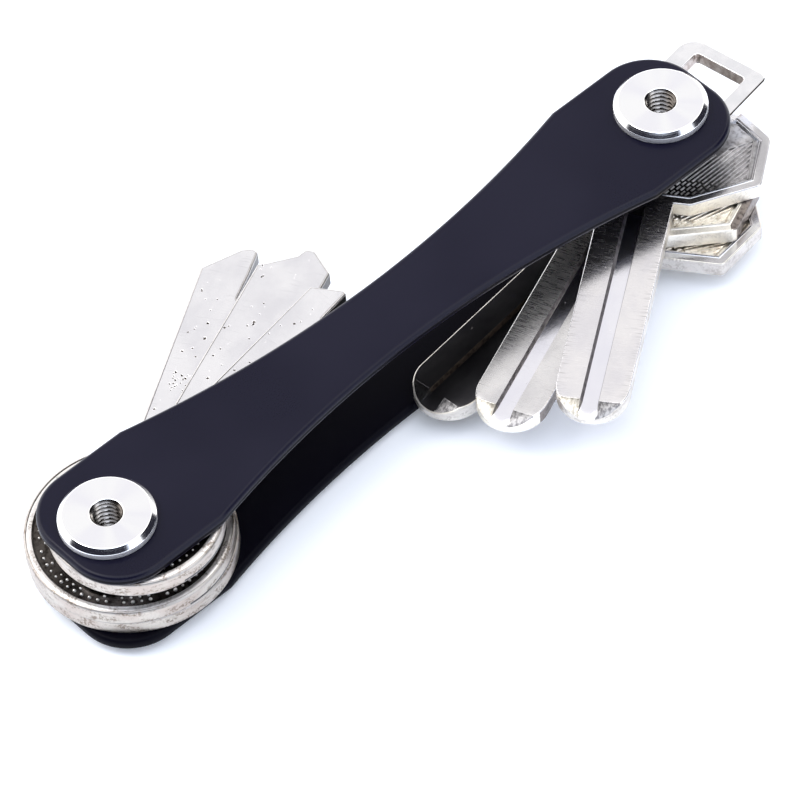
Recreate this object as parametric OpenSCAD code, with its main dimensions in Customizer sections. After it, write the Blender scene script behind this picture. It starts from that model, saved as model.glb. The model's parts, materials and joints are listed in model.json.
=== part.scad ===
// Pocket key organiser: two waisted plates joined by two flanged posts, with keys
// and a split-ring loop that swing out from the gap between the plates.
// Origin on the near post's axis, in the plane of the screw heads' undersides.
// +X runs to the far post, where the loop is, and +Z points up to the open threads.

/* [Plates] */
// Distance between the axes of the two posts
post_span = 86.7; // [85:0.1:90]
// Length of a plate from end to end
plate_len = 100; // [98:0.5:104]
// Width of a plate across a post
plate_w = 17.8; // [16:0.1:19]
// Width of a plate at its waist
waist_w = 9.7; // [8:0.1:12]
// Thickness of a plate
plate_t = 1.6; // [1.2:0.1:2.2]
// Radius of a plate's corners
corner_r = 6.65; // [5:0.05:7.5]
// Straight side beside a post, measured from the post's axis to the kink
shoulder = 9.4; // [8:0.1:11]

/* [Posts and screws] */
// Diameter of a post's flange and of a screw's head
flange_d = 11.3; // [10:0.1:13]
// Thickness of a post's flange
flange_t = 1.45; // [1:0.05:1.8]
// Thickness of a screw's head
head_t = 1.05; // [0.8:0.05:1.6]
// Outside diameter of a post's barrel
barrel_d = 5; // [4.8:0.05:5.2]
// Diameter of the open thread at a post's top, at its crests
thread_d = 3.3; // [3.2:0.05:3.5]
// Diameter of the thread that the screw fills, at its roots
thread_root_d = 4; // [3.9:0.05:4.1]
// Depth of the open thread below the flange's top
open_thread = 5.4; // [4:0.1:7]

/* [Keys] */
// Thickness of a key
key_t = 2.13; // [1.9:0.01:2.3]
// Width of a key's blade
blade_w = 8.6; // [8:0.1:9]
// Depth of the recess in a key's head, on each face
recess_t = 0.35; // [0.2:0.05:0.5]
// Width of the raised rim round a key's head
rim_w = 0.9; // [0.7:0.1:1.6]
// Thickness of a spacer washer
spacer_t = 0.9; // [0.7:0.05:1.1]
// Outside diameter of a spacer washer
spacer_d = 9; // [8:0.1:10]

/* [Loop] */
// Distance from the far post's axis to the loop's outer end
loop_reach = 12.7; // [12.5:0.1:15]
// Width of the loop
loop_w = 11.6; // [11:0.1:12.5]
// Width of the loop's slot, across the loop
slot_w = 7.2; // [7:0.1:8]
// Length of the loop's slot, along the loop
slot_len = 5; // [4.8:0.1:5.4]

/* [Rest pose] */
// Angle of each near key from folded, top key first
near_open = [9, 23.2, 31.9];
// Angle of each far key from folded, top key first
far_open = [35.4, 22, 6.4];
// Angle of the loop from straight out
loop_open = 9; // [0:1:30]

/* [Hidden] */
near_spacers = 4;
far_spacers = 2;
$fn = 96;

play = 0.042;           // free space between one layer of the stack and the next
running = 0.06;         // radial clearance of a moving hole round a barrel
seated = 0.05;          // radial clearance of a fixed hole round a barrel
cut = 0.01;             // how far a cutter runs past a face
gap = 3 * key_t + near_spacers * spacer_t + 5 * play;
loop_t = gap - 3 * key_t - far_spacers * spacer_t - 6 * play;

gap_z = head_t + plate_t;
ceiling_z = gap_z + gap;
flange_z = ceiling_z + plate_t;
top_z = flange_z + flange_t;
layer = key_t + play;
bottom_z = gap_z + play;
near_washer_z = bottom_z + 2 * layer;
far_washer_z = bottom_z + 3 * layer;
near_top_z = ceiling_z - play - key_t;
loop_z = ceiling_z - play - loop_t;
barrel_z = head_t + 0.15;
screw_end_z = top_z - open_thread - 0.3;

post_x = [0, post_span];
steel = [0.8, 0.8, 0.82];
nickel = [0.74, 0.71, 0.66];
navy = [0.09, 0.09, 0.15];

waist_rise = (plate_w - waist_w) / 2;
waist_half = post_span / 2 - shoulder;
waist_r = (pow(waist_half, 2) + pow(waist_rise, 2)) / (2 * waist_rise);

// Outline of a plate, centred midway between the posts
module plate_outline() {
    corner_x = plate_len / 2 - corner_r;
    corner_y = plate_w / 2 - corner_r;
    difference() {
        union() {
            square([plate_len, 2 * corner_y], center = true);
            square([2 * corner_x, plate_w], center = true);
            for (x = [-corner_x, corner_x], y = [-corner_y, corner_y])
                translate([x, y]) circle(corner_r);
        }
        for (side = [-1, 1])
            translate([0, side * (waist_w / 2 + waist_r)]) circle(waist_r, $fn = 256);
    }
}

module plate(z) {
    color(navy) translate([0, 0, z]) difference() {
        translate([post_span / 2, 0, 0]) linear_extrude(plate_t) plate_outline();
        for (x = post_x)
            translate([x, 0, -cut]) cylinder(d = barrel_d + 2 * seated, h = plate_t + 2 * cut);
    }
}

// The thread right through a post, as a cutter
module thread_hole() {
    mouth = 0.25;
    translate([0, 0, barrel_z - cut])
        cylinder(d = thread_root_d, h = top_z - open_thread - barrel_z + cut);
    translate([0, 0, top_z - open_thread - cut])
        cylinder(d = thread_d, h = open_thread + 2 * cut);
    translate([0, 0, top_z - mouth])
        cylinder(d1 = thread_d, d2 = thread_d + 2 * mouth, h = mouth + cut);
}

// Barrel of a post, up to the flange it is turned in one with
module post(x) {
    color(steel) translate([x, 0, 0]) difference() {
        translate([0, 0, barrel_z]) cylinder(d = barrel_d, h = flange_z - barrel_z);
        thread_hole();
    }
}

module flange(x) {
    bevel = 0.35;
    color(steel) translate([x, 0, 0]) difference() {
        union() {
            translate([0, 0, flange_z]) cylinder(d = flange_d, h = flange_t - bevel);
            translate([0, 0, top_z - bevel])
                cylinder(d1 = flange_d, d2 = flange_d - 2 * bevel, h = bevel);
        }
        thread_hole();
    }
}

// Flat screw head with a coin slot underneath
module screw(x) {
    bevel = 0.3;
    slot_depth = 0.55;
    color(steel) translate([x, 0, 0]) difference() {
        union() {
            cylinder(d1 = flange_d - 2 * bevel, d2 = flange_d, h = bevel);
            translate([0, 0, bevel]) cylinder(d = flange_d, h = head_t - bevel);
        }
        translate([-flange_d, -0.7, -cut]) cube([2 * flange_d, 1.4, slot_depth + cut]);
    }
}

// The same screw's shank, which goes up into the post
module shank(x) {
    shank_d = thread_root_d - 0.04;
    color(steel) translate([x, 0, head_t]) cylinder(d = shank_d, h = screw_end_z - head_t);
}

module spacer(x, z) {
    color(steel) translate([x, 0, z]) difference() {
        cylinder(d = spacer_d, h = spacer_t);
        translate([0, 0, -cut]) cylinder(d = barrel_d + 2 * seated, h = spacer_t + 2 * cut);
    }
}

// Places a child, drawn along +X from its hole, at a post and turns it out
module swung(x, z, turn) {
    translate([x, 0, z]) rotate([0, 0, turn]) children();
}

module key_hole() {
    translate([0, 0, -cut]) cylinder(d = barrel_d + 2 * running, h = key_t + 2 * cut);
}

// Both faces of a head, sunk inside its rim
module head_recess() {
    for (z = [-cut, key_t - recess_t])
        translate([0, 0, z]) linear_extrude(recess_t + cut) children();
}

// Cut key with a round head. The head's centre, its radius, the tip's length and the
// blade's left edge are given from the hole.
module round_key(centre, r, tip, left, cuts) {
    boss_d = barrel_d + 3;
    right = left - blade_w;
    difference() {
        union() {
            translate(centre) cylinder(r = r, h = key_t);
            linear_extrude(key_t) polygon(concat(
                [[centre[0], left], [tip[0][0], left]], tip,
                [for (c = cuts) [c[0], right + c[1]]], [[centre[0], right]]));
        }
        head_recess() difference() {
            translate(centre) circle(r - rim_w);
            circle(d = boss_d);
            translate([centre[0] + r - 2 * rim_w, right]) square([2 * rim_w, blade_w]);
        }
        key_hole();
    }
}

// Corners of one side of the many-sided head of a blank, back to front
blank_side = [[-5.5, 8.8], [-2.1, 12.8], [5.4, 12.9], [9.8, 5.2]];
blank_corners = [
    for (side = [1, -1], i = [0 : 3])
        let (c = blank_side[side > 0 ? i : 3 - i]) [c[0], side * c[1]]
];

function unit(v) = v / norm(v);

// Corners moved in so that every side is w from where it was
function inset(corners, w) = [
    for (i = [0 : len(corners) - 1])
        let (n = len(corners),
             before = unit(corners[i] - corners[(i + n - 1) % n]),
             after = unit(corners[(i + 1) % n] - corners[i]))
        corners[i] + (after - before) * w / abs(cross(before, after))
];

// Uncut blank with a many-sided head, a centre groove and a bevelled round tip.
// head places the head from its hole, side the blade, and tip is the blade's end.
module blank_key(head, side, tip) {
    bevel = 2;
    bevel_angle = 31;
    groove_w = 2.1;
    groove_t = 0.6;
    neck = head[0] + blank_side[3][0];
    tip_r = blade_w / 2;
    difference() {
        union() {
            translate(head) linear_extrude(key_t) polygon(blank_corners);
            translate([0, side - tip_r, 0]) cube([tip - tip_r, blade_w, key_t]);
            translate([tip - tip_r, side, 0]) cylinder(r = tip_r, h = key_t);
        }
        head_recess() translate(head) polygon(inset(blank_corners, rim_w));
        translate([neck, side - groove_w / 2, key_t - groove_t])
            cube([tip, groove_w, groove_t + cut]);
        translate([neck, side - groove_w / 2 - 1.4, -cut])
            cube([tip, groove_w, groove_t + cut]);
        translate([tip - bevel, side - blade_w, key_t]) rotate([0, bevel_angle, 0])
            cube([2 * bevel, 2 * blade_w, 2 * bevel]);
        key_hole();
    }
}

module near_key_top() {
    color(nickel) swung(0, near_top_z, near_open[0])
        round_key([3.5, -0.9], 10.2, [[41.6, 2.9], [42.8, 0.5], [42.7, -0.1]], 4,
            [[38, 4.4], [36, 1.2], [33, 1.2], [31, 3], [28.5, 3], [26.5, 0.8], [23, 0.8],
             [21, 0]]);
}

module near_key_middle() {
    color(nickel) swung(0, bottom_z + layer, near_open[1])
        round_key([4.85, 0.45], 12.1,
            [[46.5, 2.6], [48.9, -0.4], [50.1, -0.9], [50.3, -2], [47.8, -5.1]], 3.5,
            [[45, 0], [42, 0.9], [39, 0.9], [37, 0.6], [34, 1], [31.5, 3.2], [28.5, 3.2],
             [26, 1.4], [22, 1.4], [20, 0]]);
}

module near_key_bottom() {
    color(nickel) swung(0, bottom_z, near_open[2])
        round_key([5.3, -0.35], 12.2, [[45.7, 3.6], [49.5, -0.4], [49.9, -1.6], [49.5, -2.4]], 3.6,
            [[46, 2.7], [42, 3], [39.5, 1.2], [36.5, 1.2], [34, 2.6], [30.5, 2.6],
             [28, 0.8], [24, 0.8], [22, 0]]);
}

module far_key_top() {
    color(nickel) swung(post_span, bottom_z + 2 * layer, 180 + far_open[0])
        blank_key([0, 0], -1.1, 42.7);
}

module far_key_middle() {
    color(nickel) swung(post_span, bottom_z + layer, 180 + far_open[1])
        blank_key([2.75, 0.15], -1, 45);
}

module far_key_bottom() {
    color(nickel) swung(post_span, bottom_z, 180 + far_open[2])
        blank_key([2.65, 2.85], 1.9, 45.7);
}

// Tab with a slot for a split ring
module loop_tab() {
    corner_r = [0.9, 2.5];
    side_shift = -0.6;
    slot_shift = -0.8;
    slot_end = loop_reach - 1.8;
    low = side_shift - loop_w / 2;
    high = side_shift + loop_w / 2;
    color(steel) swung(post_span, loop_z, loop_open) difference() {
        union() {
            cylinder(d = loop_w, h = loop_t);
            translate([0, low, 0]) cube([loop_reach - corner_r[1], loop_w, loop_t]);
            translate([0, low + corner_r[0], 0])
                cube([loop_reach, loop_w - corner_r[0] - corner_r[1], loop_t]);
            translate([0, low, 0]) cube([loop_reach - corner_r[0], 2 * corner_r[0], loop_t]);
            translate([loop_reach - corner_r[0], low + corner_r[0], 0])
                cylinder(r = corner_r[0], h = loop_t);
            translate([loop_reach - corner_r[1], high - corner_r[1], 0])
                cylinder(r = corner_r[1], h = loop_t);
        }
        translate([slot_end - slot_len, slot_shift - slot_w / 2, -cut])
            cube([slot_len, slot_w, loop_t + 2 * cut]);
        translate([0, 0, -cut]) cylinder(d = barrel_d + 2 * running, h = loop_t + 2 * cut);
    }
}

plate(ceiling_z);  // top_plate
plate(head_t);  // bottom_plate
post(post_x[0]);  // near_post
flange(post_x[0]);  // near_flange
post(post_x[1]);  // far_post
flange(post_x[1]);  // far_flange
screw(post_x[0]);  // near_screw
shank(post_x[0]);  // near_shank
screw(post_x[1]);  // far_screw
shank(post_x[1]);  // far_shank
near_key_top();
near_key_middle();
near_key_bottom();
far_key_top();
far_key_middle();
far_key_bottom();
loop_tab();
spacer(0, near_washer_z);  // near_spacer_1
spacer(0, near_washer_z + spacer_t);  // near_spacer_2
spacer(0, near_washer_z + 2 * spacer_t);  // near_spacer_3
spacer(0, near_washer_z + 3 * spacer_t);  // near_spacer_4
spacer(post_span, far_washer_z);  // far_spacer_1
spacer(post_span, far_washer_z + spacer_t);  // far_spacer_2
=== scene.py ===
import json
import math
import random

import bmesh
import bpy
import numpy as np
from mathutils import Matrix, Vector
from mathutils.geometry import delaunay_2d_cdt


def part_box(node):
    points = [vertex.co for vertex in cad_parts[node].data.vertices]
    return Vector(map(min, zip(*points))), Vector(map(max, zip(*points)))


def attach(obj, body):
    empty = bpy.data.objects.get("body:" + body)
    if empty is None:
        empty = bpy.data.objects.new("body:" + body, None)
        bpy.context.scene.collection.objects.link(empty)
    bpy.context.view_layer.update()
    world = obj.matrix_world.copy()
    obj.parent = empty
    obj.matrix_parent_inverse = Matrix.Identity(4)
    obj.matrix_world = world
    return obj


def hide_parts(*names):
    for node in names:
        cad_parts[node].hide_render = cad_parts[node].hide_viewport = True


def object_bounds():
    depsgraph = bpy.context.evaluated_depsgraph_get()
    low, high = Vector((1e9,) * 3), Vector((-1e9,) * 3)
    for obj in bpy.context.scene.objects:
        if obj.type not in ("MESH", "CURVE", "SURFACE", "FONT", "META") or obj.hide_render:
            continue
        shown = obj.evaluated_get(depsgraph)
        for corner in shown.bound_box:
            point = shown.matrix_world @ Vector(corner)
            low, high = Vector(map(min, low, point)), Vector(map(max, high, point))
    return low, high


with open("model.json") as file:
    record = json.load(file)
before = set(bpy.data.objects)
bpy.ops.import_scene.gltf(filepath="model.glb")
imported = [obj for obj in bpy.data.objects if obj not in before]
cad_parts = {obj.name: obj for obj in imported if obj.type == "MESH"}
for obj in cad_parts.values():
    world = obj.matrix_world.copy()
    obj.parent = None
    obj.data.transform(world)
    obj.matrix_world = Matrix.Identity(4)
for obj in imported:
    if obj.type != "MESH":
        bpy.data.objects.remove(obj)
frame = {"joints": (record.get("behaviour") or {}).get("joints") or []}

cad_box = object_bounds()
MM = 0.001
TAU = 2 * math.pi
OWN = "own_mm"

# ---- sizes, in mm
JOINTS = {j["name"]: j for j in frame["joints"]}
NEAR_X = JOINTS["near_top_swing"]["pos_m"][0] / MM
FAR_X = JOINTS["far_top_swing"]["pos_m"][0] / MM

PLATE_LEN, PLATE_W, WAIST_W, CORNER_R, SHOULDER = 100.0, 17.8, 9.7, 6.65, 9.4
PLATE_EDGE = 0.6      # radius of the rounding along a plate's edge
BARREL_R, PLATE_HOLE_R, SPACER_R = 2.5, 2.55, 4.5
FLANGE_R, FLANGE_BEVEL = 5.65, 0.58
HEAD_T, HEAD_BEVEL = 1.05, 0.3      # a screw's head
COIN_SLOT_HALF_W, COIN_SLOT_DEPTH = 0.7, 0.55
CREST_R, ROOT_R, PITCH, MOUTH = 1.62, 1.98, 0.7, 0.35      # the thread in a post
ROWS_PER_TURN = 10
BLADE_W = 8.6
KEY_HOLE_R = 2.56
# the loop: reach from its post, half its width, and how far its middle is off the post's axis
LOOP_REACH, LOOP_HALF, LOOP_SHIFT = 12.7, 5.8, -0.6
LOOP_SLOT_LEN, LOOP_SLOT_W, LOOP_SLOT_SHIFT, LOOP_END_W = 5.0, 7.2, -0.8, 1.8
# corners of one side of a blank's many-sided head, back to front
BLANK_SIDE = [(-5.5, 8.8), (-2.1, 12.8), (5.4, 12.9), (9.8, 5.2)]

# angle of each swinging piece from +X at rest, in degrees
NEAR_OPEN = {"near_key_top": 9.0, "near_key_middle": 23.2, "near_key_bottom": 31.9}
FAR_OPEN = {"far_key_top": 215.4, "far_key_middle": 202.0, "far_key_bottom": 186.4}
LOOP_OPEN = 9.0


def levels(node):
    """Lowest and highest z of a CAD node, in mm."""
    low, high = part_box(node)
    return low.z / MM, high.z / MM


# ---- outlines
def arc(cx, cy, r, a0, a1, n):
    """Points from angle a0 to a1, both included."""
    angles = [a0 + (a1 - a0) * i / n for i in range(n + 1)]
    return [(cx + r * math.cos(a), cy + r * math.sin(a)) for a in angles]


def circle(cx, cy, r, n=96, turn=1):
    """Closed loop of n points. turn is 1 for an outline and -1 for a hole."""
    return [(cx + r * math.cos(turn * TAU * i / n), cy + r * math.sin(turn * TAU * i / n))
            for i in range(n)]


def tidy(loop, gap=1e-3):
    """The loop without points that repeat the one before."""
    out = []
    for p in loop:
        if not out or math.dist(p, out[-1]) > gap:
            out.append(tuple(p))
    if math.dist(out[0], out[-1]) <= gap:
        out.pop()
    return out


def area(loop):
    """Signed area, positive for an anticlockwise loop."""
    p = np.array(loop)
    q = np.roll(p, -1, 0)
    return 0.5 * float(np.sum(p[:, 0] * q[:, 1] - q[:, 0] * p[:, 1]))


def inset(loop, d):
    """The loop with every side moved d to its left: inwards for an outline, outwards for a hole."""
    p = np.array(loop, float)
    a = p - np.roll(p, 1, 0)
    b = np.roll(p, -1, 0) - p
    a /= np.linalg.norm(a, axis=1)[:, None]
    b /= np.linalg.norm(b, axis=1)[:, None]
    na = np.stack([-a[:, 1], a[:, 0]], 1)
    nb = np.stack([-b[:, 1], b[:, 0]], 1)
    m = na + nb
    m /= np.maximum(np.sum(m * na, 1), 0.35 * np.linalg.norm(m, axis=1))[:, None]
    return [tuple(v) for v in p + m * d]


def fillet(loop, radius, n=6):
    """Rounds the corners of a loop. radius is one number, or one for each corner."""
    out = []
    count = len(loop)
    radii = radius if isinstance(radius, (list, tuple)) else [radius] * count
    for i, r in enumerate(radii):
        a, p, b = (np.array(loop[k % count], float) for k in (i - 1, i, i + 1))
        u, v = a - p, b - p
        lu, lv = np.linalg.norm(u), np.linalg.norm(v)
        u, v = u / lu, v / lv
        half = math.acos(max(-1, min(1, float(u @ v)))) / 2
        if r <= 0 or half > 1.5:
            out.append(tuple(p))
            continue
        t = min(r / math.tan(half), 0.48 * lu, 0.48 * lv)
        r = t * math.tan(half)
        c = p + (u + v) / np.linalg.norm(u + v) * (r / math.sin(half))
        a0 = math.atan2(*(p + u * t - c)[::-1])
        a1 = math.atan2(*(p + v * t - c)[::-1])
        while a1 - a0 > math.pi:
            a1 -= TAU
        while a1 - a0 < -math.pi:
            a1 += TAU
        out += arc(c[0], c[1], r, a0, a1, n)
    return tidy(out)


def inside(pts, loops):
    """True for each point that lies inside the loops, by the even-odd rule."""
    pts = np.asarray(pts, float)
    odd = np.zeros(len(pts), bool)
    for loop in loops:
        p = np.array(loop, float)
        q = np.roll(p, -1, 0)
        for (x0, y0), (x1, y1) in zip(p, q):
            if y0 == y1:
                continue
            hit = (pts[:, 1] < max(y0, y1)) & (pts[:, 1] >= min(y0, y1))
            x = x0 + (pts[:, 1] - y0) * (x1 - x0) / (y1 - y0)
            odd ^= hit & (pts[:, 0] < x)
    return odd


def inside_any(pts, loops):
    """True for each point that lies inside at least one of the loops."""
    keep = np.zeros(len(pts), bool)
    for loop in loops:
        keep |= inside(pts, [loop])
    return keep


def triangulate(loops, lines=(), dots=(), within=inside):
    """Constrained triangles of the area within the loops, with lines and dots kept as they are."""
    pts, edges = [], []
    for loop in loops:
        s = len(pts)
        pts += [tuple(p) for p in loop]
        edges += [(s + i, s + (i + 1) % len(loop)) for i in range(len(loop))]
    for line in lines:
        s = len(pts)
        pts += [tuple(p) for p in line]
        edges += [(s + i, s + i + 1) for i in range(len(line) - 1)]
        if line[0] == line[-1]:
            pts.pop()
            edges[-1] = (edges[-1][0], s)
    pts += [tuple(p) for p in dots]
    v, _, f, *_ = delaunay_2d_cdt([Vector(p) for p in pts], edges, [], 0, 1e-5, False)
    v = np.array([(p.x, p.y) for p in v])
    f = np.array([t for t in f if len(t) == 3])
    f = f[within(v[f].mean(1), loops)]
    a, b, c = v[f[:, 0]], v[f[:, 1]], v[f[:, 2]]
    turn = (b[:, 0] - a[:, 0]) * (c[:, 1] - a[:, 1]) - (b[:, 1] - a[:, 1]) * (c[:, 0] - a[:, 0])
    f[turn < 0] = f[turn < 0][:, ::-1]
    return v, f[np.abs(turn) > 1e-9]


def merged(loops):
    """Outline of the union of several closed loops, anticlockwise."""
    v, f = triangulate(loops, within=inside_any)
    edges = {}
    for a, b, c in f:
        for e in ((a, b), (b, c), (c, a)):
            edges[e] = True
    # an edge that no triangle uses the other way round is on the outline
    nxt = {a: b for a, b in edges if (b, a) not in edges}
    best = []
    while nxt:
        here, loop = next(iter(nxt)), []
        while here in nxt:
            loop.append(tuple(v[here]))
            here = nxt.pop(here)
        if len(loop) > 2 and area(loop) > (area(best) if best else 0):
            best = loop
    return tidy(best)


# ---- mesh building
class Shape:
    """Vertices in mm and faces with a material index."""

    def __init__(self):
        self.verts, self.faces, self.mats, self.count = [], [], [], 0

    def add(self, verts, faces, mat=0):
        verts = np.asarray(verts, float)
        self.verts.append(verts)
        for f in faces:
            self.faces.append([int(i) + self.count for i in f])
            self.mats.append(mat)
        self.count += len(verts)

    def rings(self, rings, mat=0, closed=False):
        """Quads between rings of equally many points."""
        n = len(rings[0])
        rows = len(rings)
        faces = []
        for k in range(rows if closed else rows - 1):
            a, b = k * n, (k + 1) % rows * n
            faces += [(a + i, a + (i + 1) % n, b + (i + 1) % n, b + i) for i in range(n)]
        self.add(np.concatenate([np.asarray(r, float) for r in rings]), faces, mat)

    def object(self, name, mats, at=(0, 0, 0), turn=0.0, sharp=32, weld=2e-3):
        """A Blender object, with turn (degrees about Z) and at (mm) put into the mesh itself."""
        me = bpy.data.meshes.new(name)
        me.from_pydata((np.concatenate(self.verts) * MM).tolist(), [], self.faces)
        for m in mats:
            me.materials.append(m)
        me.polygons.foreach_set("material_index", self.mats)
        bm = bmesh.new()
        bm.from_mesh(me)
        bmesh.ops.remove_doubles(bm, verts=bm.verts, dist=weld * MM)
        bmesh.ops.dissolve_degenerate(bm, edges=bm.edges, dist=1e-8)
        bm.to_mesh(me)
        bm.free()
        keep_own_axes(me)
        spin = Matrix.Rotation(math.radians(turn), 4, "Z")
        me.transform(Matrix.Translation(Vector(at) * MM) @ spin)
        me.polygons.foreach_set("use_smooth", [True] * len(me.polygons))
        me.set_sharp_from_angle(angle=math.radians(sharp))
        me.update()
        o = bpy.data.objects.new(name, me)
        bpy.context.scene.collection.objects.link(o)
        w = o.modifiers.new("normals", "WEIGHTED_NORMAL")
        w.keep_sharp = True
        w.weight = 60
        return o


def keep_own_axes(me):
    """Stores each vertex's place on the piece's own axes, in mm, for the materials."""
    co = np.empty(len(me.vertices) * 3)
    me.vertices.foreach_get("co", co)
    me.attributes.new(OWN, "FLOAT_VECTOR", "POINT").data.foreach_set("vector", co / MM)


def flat(loop, z):
    return [(x, y, z) for x, y in loop]


def slab(outline, holes, z0, z1, edge, hole_edge=0.1, top=None, bottom=None, steps=4,
         mats=(0, 0, 0, 0), carve=None, strip=None):
    """Solid from z0 to z1, its edges rounded to radius edge and its holes' edges to hole_edge.

    top and bottom are (lines, dots, height function) for what stands up from or is sunk into a
    cap. carve(xy, z) may lower any point. mats are the material indices of the top, the wall, the
    underside and the rounded edges. strip is (height, material index) of a band at the wall's foot.
    """
    s = Shape()
    parts = []
    loops = [(outline, edge)] + [(h, hole_edge) for h in holes]
    caps = {0: [], 1: []}
    for loop, r in loops:
        rings = []
        for side in (0, 1):
            order = range(steps, -1, -1) if side == 0 else range(steps + 1)
            for k in order:
                t = k / steps * math.pi / 2
                z = z0 + r * (1 - math.sin(t)) if side == 0 else z1 - r * (1 - math.sin(t))
                ring = inset(loop, r * (1 - math.cos(t))) if k else list(loop)
                rings.append(flat(ring, z))
        caps[0].append([p[:2] for p in rings[0]])
        caps[1].append([p[:2] for p in rings[-1]])
        parts.append(rings)
    for rings in parts:
        rings = [np.array(r, float) for r in rings]
        if carve:
            for r in rings:
                r[:, 2] = carve(r[:, :2], r[:, 2])
        s.rings(rings[:steps + 1], mats[3])
        foot = rings[steps]
        if strip:
            foot = rings[steps] + [0, 0, strip[0]]
            s.rings([rings[steps], foot], strip[1])
        s.rings([foot, rings[steps + 1]], mats[1])
        s.rings(rings[steps + 1:], mats[3])
    for side, relief in ((0, bottom), (1, top)):
        lines, dots, height = relief or ((), (), None)
        v, f = triangulate(caps[side], lines, dots)
        h = height(v) if height else np.zeros(len(v))
        z = np.full(len(v), z1 if side else z0) + (h if side else -h)
        if carve:
            z = carve(v, z)
        s.add(np.column_stack([v, z]), f if side else f[:, ::-1], mats[0] if side else mats[2])
    return s


def lathe(profile, n):
    """Turns a closed profile of (r, z) about Z, in n steps."""
    s = Shape()
    c, d = np.cos(np.arange(n) * TAU / n), np.sin(np.arange(n) * TAU / n)
    s.rings([np.column_stack([r * c, r * d, np.full(n, z)]) for r, z in profile], closed=True)
    return s


def dome(shape, x, y, z, r, h, up=1, n=8, mat=0):
    """Low round bump of radius r and height h."""
    rings = []
    for k in range(3):
        t = k / 3 * math.pi / 2
        rings.append([(x + r * math.cos(t) * math.cos(TAU * i / n),
                       y + r * math.cos(t) * math.sin(TAU * i / n),
                       z + up * h * math.sin(t)) for i in range(n)])
    verts = [point for ring in rings for point in ring] + [(x, y, z + up * h)]
    faces = [(k * n + i, k * n + (i + 1) % n, (k + 1) * n + (i + 1) % n, (k + 1) * n + i)
             for k in range(2) for i in range(n)]
    faces += [(2 * n + i, 2 * n + (i + 1) % n, 3 * n) for i in range(n)]
    if up < 0:
        faces = [f[::-1] for f in faces]
    shape.add(verts, faces, mat)


def bar(shape, p, q, z, w, h, up=1, mat=0):
    """Long low ridge from p to q, sloped on both sides and at its ends."""
    p, q = np.array(p, float), np.array(q, float)
    length = np.linalg.norm(q - p)
    if length < 2.2 * w:
        return
    u = (q - p) / length
    n = np.array([-u[1], u[0]])
    foot = [p - n * w / 2, q - n * w / 2, q + n * w / 2, p + n * w / 2]
    k = 0.16 * w
    start, end = p + u * k * 2, q - u * k * 2
    top = [start - n * k, end - n * k, end + n * k, start + n * k]
    verts = [(*v, z) for v in foot] + [(*v, z + up * h) for v in top]
    faces = [(0, 1, 5, 4), (1, 2, 6, 5), (2, 3, 7, 6), (3, 0, 4, 7), (4, 5, 6, 7)]
    if up < 0:
        faces = [f[::-1] for f in faces]
    shape.add(verts, faces, mat)


# ---- materials
def node(tree, kind, inputs=None, **props):
    """New node. Each input is given a link if its value is a socket, and a constant if not."""
    n = tree.nodes.new(kind)
    for k, v in props.items():
        setattr(n, k, v)
    for k, v in (inputs or {}).items():
        if hasattr(v, "is_linked"):
            tree.links.new(v, n.inputs[k])
        else:
            n.inputs[k].default_value = v
    return n


def ramp(tree, value, low, high, a=0.0, b=1.0):
    """Smooth step from a, where the value is low, to b, where it is high."""
    r = node(tree, "ShaderNodeMapRange", {
        "Value": value, "From Min": low, "From Max": high, "To Min": a, "To Max": b})
    r.interpolation_type = "SMOOTHSTEP"
    return r.outputs["Result"]


def calc(tree, op, a, b=0.0):
    return node(tree, "ShaderNodeMath", {0: a, 1: b}, operation=op).outputs[0]


def mix(tree, fac, a, b):
    """Colour a where fac is 0 and b where it is 1."""
    m = node(tree, "ShaderNodeMix", data_type="RGBA")
    for key, v in (("Factor", fac), ("A", a), ("B", b)):
        sock = [q for q in m.inputs if q.name == key and q.enabled][0]
        if hasattr(v, "is_linked"):
            tree.links.new(v, sock)
        else:
            sock.default_value = (*v, 1) if isinstance(v, tuple) else v
    return [q for q in m.outputs if q.enabled][0]


class Look:
    """A Principled material with helpers that work in millimetres of the piece's own axes."""

    def __init__(self, name, color, metallic, roughness, **sockets):
        self.mat = bpy.data.materials.new(name)
        self.mat.use_nodes = True
        self.tree = self.mat.node_tree
        self.bsdf = self.tree.nodes["Principled BSDF"]
        self.set("Base Color", (*color, 1))
        self.set("Metallic", metallic)
        self.set("Roughness", roughness)
        for k, v in sockets.items():
            self.set(k.replace("_", " "), v)
        self.coord = node(self.tree, "ShaderNodeAttribute", attribute_name=OWN).outputs["Vector"]

    def set(self, socket, value):
        if hasattr(value, "is_linked"):
            self.tree.links.new(value, self.bsdf.inputs[socket])
        else:
            self.bsdf.inputs[socket].default_value = value

    def place(self, scale=(1, 1, 1)):
        """The place on the piece's own axes in mm, scaled."""
        m = node(self.tree, "ShaderNodeMapping", {"Vector": self.coord, "Scale": scale})
        return m.outputs["Vector"]

    def noise(self, scale=(1, 1, 1), detail=3.0, rough=0.5, distortion=0.0):
        """Noise from 0 to 1. scale is in cells for each mm."""
        return node(self.tree, "ShaderNodeTexNoise", {
            "Vector": self.place(scale), "Scale": 1.0, "Detail": detail, "Roughness": rough,
            "Distortion": distortion}).outputs["Fac"]

    def ramp(self, *args):
        return ramp(self.tree, *args)

    def math(self, *args):
        return calc(self.tree, *args)

    def mix(self, *args):
        return mix(self.tree, *args)

    def bump(self, height, strength, distance, after=None):
        """Bump of so many mm, on top of the normal it is given in after."""
        n = node(self.tree, "ShaderNodeBump", {"Strength": strength, "Distance": distance * MM,
                                               "Height": height})
        if after is not None:
            self.tree.links.new(after, n.inputs["Normal"])
        self.set("Normal", n.outputs["Normal"])
        return n.outputs["Normal"]


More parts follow.
